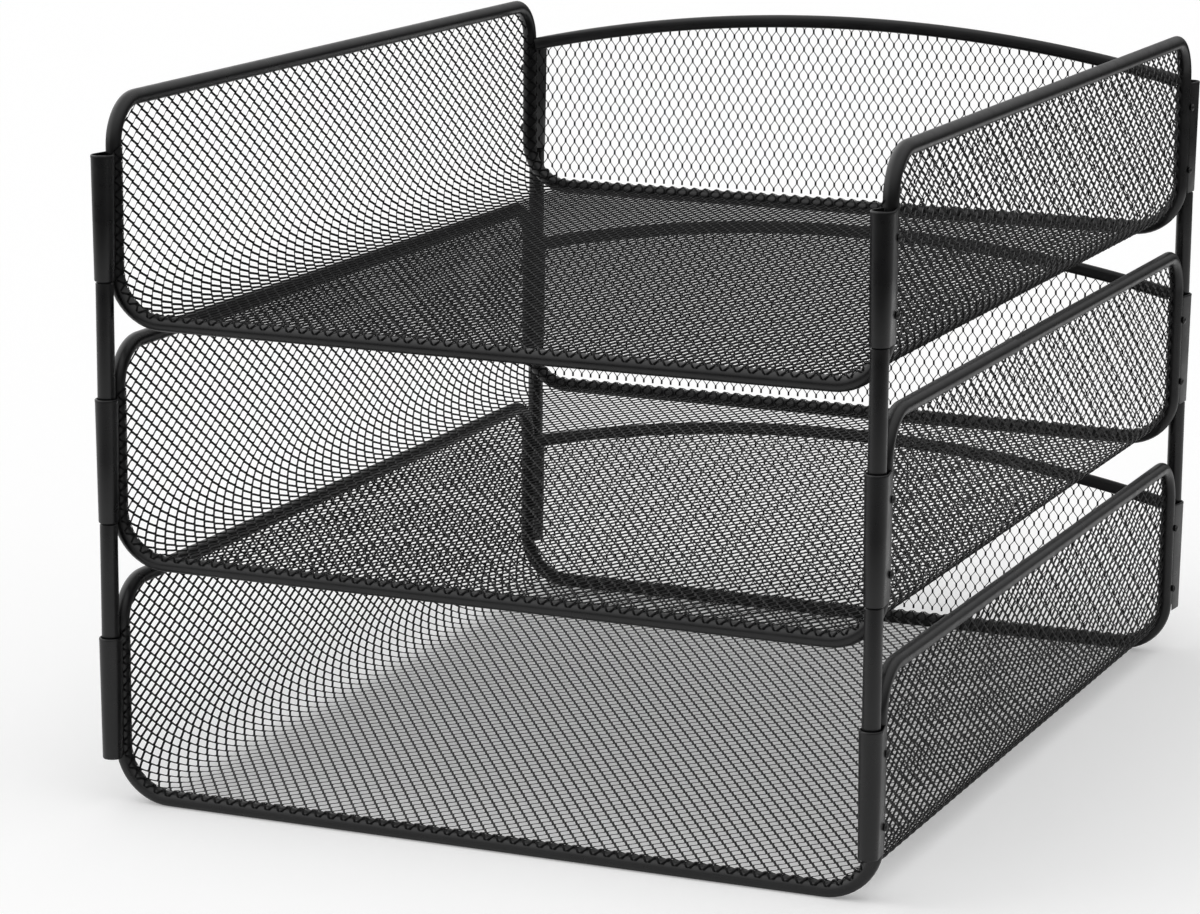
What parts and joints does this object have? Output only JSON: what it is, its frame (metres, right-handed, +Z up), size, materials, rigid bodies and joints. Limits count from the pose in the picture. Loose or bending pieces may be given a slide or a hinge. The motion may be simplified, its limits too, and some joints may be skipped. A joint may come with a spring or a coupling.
{
  "type": "letter tray",
  "caption": "Front-loading stacking letter tray in black wire and expanded mesh, with lift-off tiers on corner posts and an arched back panel on each tier.",
  "frame": {"origin": "centre of the footprint, on the desk under the bottom tray's wires", "axes": "+X to the right seen from the open front, +Y towards the back panels, +Z up"},
  "size_m": [0.2316, 0.3, 0.201],
  "materials": {
    "frame_wire": "satin black powder coat",
    "tray_mesh": "satin black powder coat on expanded steel mesh",
    "back_frame": "satin black powder coat",
    "sleeve": "satin black powder coat",
    "post": "satin black powder coat"
  },
  "bodies": {
    "bottom_tray": {"bottom_frame_wire": "frame_wire", "bottom_mesh_tray": "tray_mesh", "bottom_back_frame": "back_frame", "bottom_back_mesh": "tray_mesh", "bottom_front_left_sleeve": "sleeve", "bottom_front_right_sleeve": "sleeve", "bottom_rear_left_sleeve": "sleeve", "bottom_rear_right_sleeve": "sleeve"},
    "middle_tray": {"middle_frame_wire": "frame_wire", "middle_mesh_tray": "tray_mesh", "middle_back_frame": "back_frame", "middle_back_mesh": "tray_mesh", "middle_front_left_sleeve": "sleeve", "middle_front_right_sleeve": "sleeve", "middle_rear_left_sleeve": "sleeve", "middle_rear_right_sleeve": "sleeve"},
    "top_tray": {"top_frame_wire": "frame_wire", "top_mesh_tray": "tray_mesh", "top_back_frame": "back_frame", "top_back_mesh": "tray_mesh", "top_front_left_sleeve": "sleeve", "top_front_right_sleeve": "sleeve", "top_rear_left_sleeve": "sleeve", "top_rear_right_sleeve": "sleeve"},
    "lower_posts": {"lower_front_left_post": "post", "lower_front_right_post": "post", "lower_rear_left_post": "post", "lower_rear_right_post": "post"},
    "upper_posts": {"upper_front_left_post": "post", "upper_front_right_post": "post", "upper_rear_left_post": "post", "upper_rear_right_post": "post"}
  },
  "joints": [
    {"name": "lower_posts_lift", "type": "slide", "parent": "bottom_tray", "child": "lower_posts", "axis": [0, 0, 1], "range_m": [0, 0.02]},
    {"name": "middle_tray_lift", "type": "slide", "parent": "lower_posts", "child": "middle_tray", "axis": [0, 0, 1], "range_m": [0, 0.02]},
    {"name": "upper_posts_lift", "type": "slide", "parent": "middle_tray", "child": "upper_posts", "axis": [0, 0, 1], "range_m": [0, 0.02]},
    {"name": "top_tray_lift", "type": "slide", "parent": "upper_posts", "child": "top_tray", "axis": [0, 0, 1], "range_m": [0, 0.02]}
  ]
}
